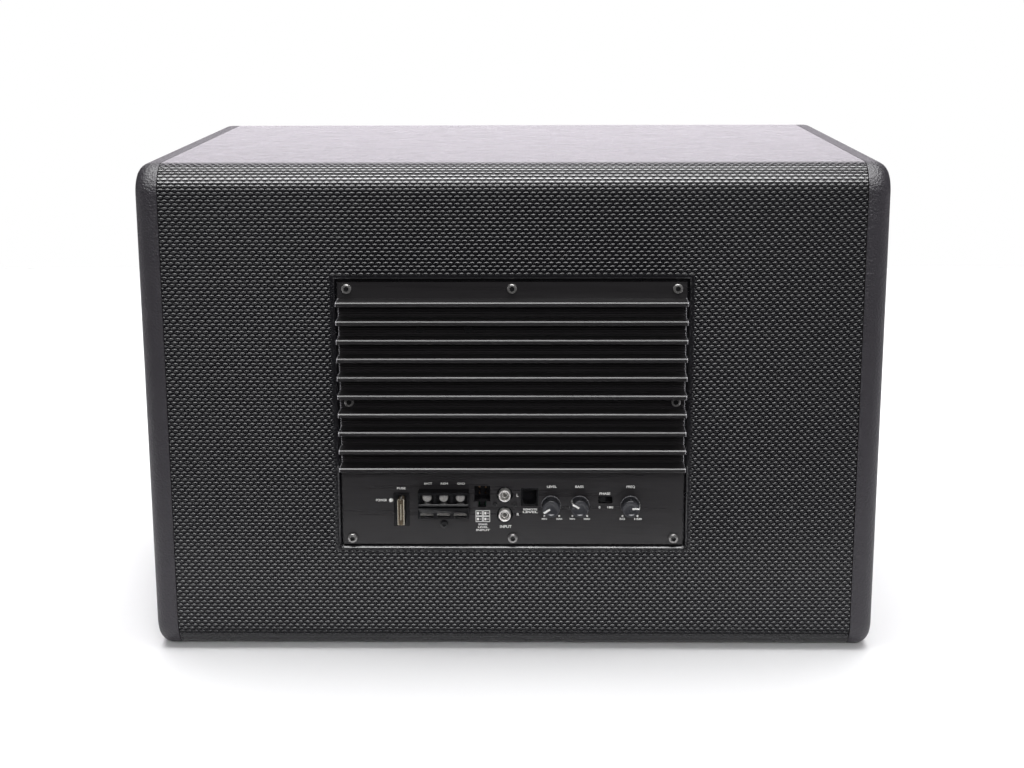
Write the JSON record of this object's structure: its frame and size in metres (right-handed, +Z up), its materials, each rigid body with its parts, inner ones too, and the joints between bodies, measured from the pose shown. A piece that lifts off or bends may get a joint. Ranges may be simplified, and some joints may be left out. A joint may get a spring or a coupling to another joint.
{
  "type": "powered car subwoofer",
  "caption": "Box-shaped powered car subwoofer: vinyl-wrapped wooden cabinet with moulded end caps, finned plate amplifier with controls, ported woofer on the far side.",
  "frame": {"origin": "centre of the base, on the surface that the box stands on", "axes": "+X along the box to the right when the amplifier plate is faced, -Y out of the amplifier face, +Y out of the woofer face, +Z up"},
  "size_m": [0.502, 0.3675, 0.34],
  "materials": {
    "wood_panel": "raw medium-density fibreboard",
    "vinyl": "semi-gloss black vinyl with raised lens-shaped embossing",
    "cap_plastic": "matte moulded plastic with fine leather grain",
    "wadding": "loose polyester wadding",
    "black_anodised": "black anodised extrusion with fine ridges",
    "foam_gasket": "closed-cell foam",
    "steel_screw": "bright plated domed socket heads",
    "black_screw": "blackened steel",
    "semiconductor": "moulded epoxy",
    "plain_aluminium": "plain sheet",
    "board": "solder-masked fibreglass",
    "nylon": "natural nylon",
    "copper_winding": "enamelled copper wire",
    "capacitor_sleeve": "shrunk plastic sleeve",
    "pot_body": "moulded body with a plain shaft",
    "knob_plastic": "satin dark grey with a white pointer",
    "black_plastic": "glossy black moulding",
    "light_lens": "milky white lens",
    "fuse_body": "translucent brownish body",
    "bright_metal": "bright nickel plate",
    "contact_metal": "thin gold plate",
    "frame_paint": "black powder coat on pressed steel",
    "trim_rubber": "moulded rubber",
    "cone_pulp": "satin filled polypropylene",
    "former": "thin rolled sheet",
    "spider_cloth": "resin-treated corrugated cloth",
    "plated_steel": "zinc-plated steel",
    "ferrite": "dark sintered ferrite",
    "white_print": "white screen-printed legends and dial marks",
    "terminal_fibre": "phenolic board"
  },
  "bodies": {
    "cabinet": {"top_panel": "wood_panel", "bottom_panel": "wood_panel", "left_panel": "wood_panel", "right_panel": "wood_panel", "amp_panel": "wood_panel", "baffle": "wood_panel", "vinyl_wrap": "vinyl", "left_end_cap": "cap_plastic", "right_end_cap": "cap_plastic", "damping_pad": "wadding", "heat_sink": "black_anodised", "plate_gasket": "foam_gasket", "plate_screws": "steel_screw", "clamp_screws": "black_screw", "transistors": "semiconductor", "transistor_clamp": "plain_aluminium", "circuit_board": "board", "board_spacers": "nylon", "transformer": "copper_winding", "capacitors": "capacitor_sleeve", "amp_cover": "plain_aluminium", "level_pot": "pot_body", "bass_pot": "pot_body", "freq_pot": "pot_body", "phase_switch": "black_plastic", "power_led": "light_lens", "fuse_holder": "black_plastic", "terminal_block": "black_plastic", "terminal_screws": "bright_metal", "terminal_clamps": "bright_metal", "terminal_block_screw": "black_screw", "phono_housing": "black_plastic", "phono_shells": "bright_metal", "phono_contacts": "bright_metal", "jack_screws": "black_screw", "input_header": "black_plastic", "header_pins": "contact_metal", "remote_jack": "black_plastic", "remote_contacts": "contact_metal", "woofer_frame": "frame_paint", "woofer_gasket": "foam_gasket", "woofer_trim_ring": "trim_rubber", "surround": "trim_rubber", "spider": "spider_cloth", "top_plate": "plated_steel", "magnet": "ferrite", "back_plate": "plated_steel", "woofer_screws": "black_screw", "woofer_terminals": "terminal_fibre", "port_tube": "black_plastic"},
    "level_knob": {"level_knob": "knob_plastic"},
    "bass_knob": {"bass_knob": "knob_plastic"},
    "freq_knob": {"freq_knob": "knob_plastic"},
    "phase_slider": {"phase_slider": "black_plastic"},
    "fuse": {"fuse": "fuse_body", "fuse_blades": "bright_metal"},
    "cone": {"cone": "cone_pulp", "dust_cap": "cone_pulp", "coil_former": "former", "voice_coil": "copper_winding"}
  },
  "joints": [
    {"name": "level_turn", "type": "hinge", "parent": "cabinet", "child": "level_knob", "pos_m": [0.0264, -0.173, 0.10675], "axis": [0, 1, 0], "range_deg": [-31, 269]},
    {"name": "bass_turn", "type": "hinge", "parent": "cabinet", "child": "bass_knob", "pos_m": [0.046, -0.173, 0.10675], "axis": [0, 1, 0], "range_deg": [-94, 206]},
    {"name": "freq_turn", "type": "hinge", "parent": "cabinet", "child": "freq_knob", "pos_m": [0.0808, -0.173, 0.10675], "axis": [0, 1, 0], "range_deg": [-235, 65]},
    {"name": "phase_slide", "type": "slide", "parent": "cabinet", "child": "phase_slider", "axis": [1, 0, 0], "range_m": [0, 0.004]},
    {"name": "fuse_pull", "type": "slide", "parent": "cabinet", "child": "fuse", "axis": [0, -1, 0], "range_m": [0, 0.012]},
    {"name": "cone_travel", "type": "slide", "parent": "cabinet", "child": "cone", "axis": [0, 1, 0], "range_m": [-0.008, 0.008], "stiffness_N_per_m": 5000, "deforming": ["surround", "spider"]}
  ]
}
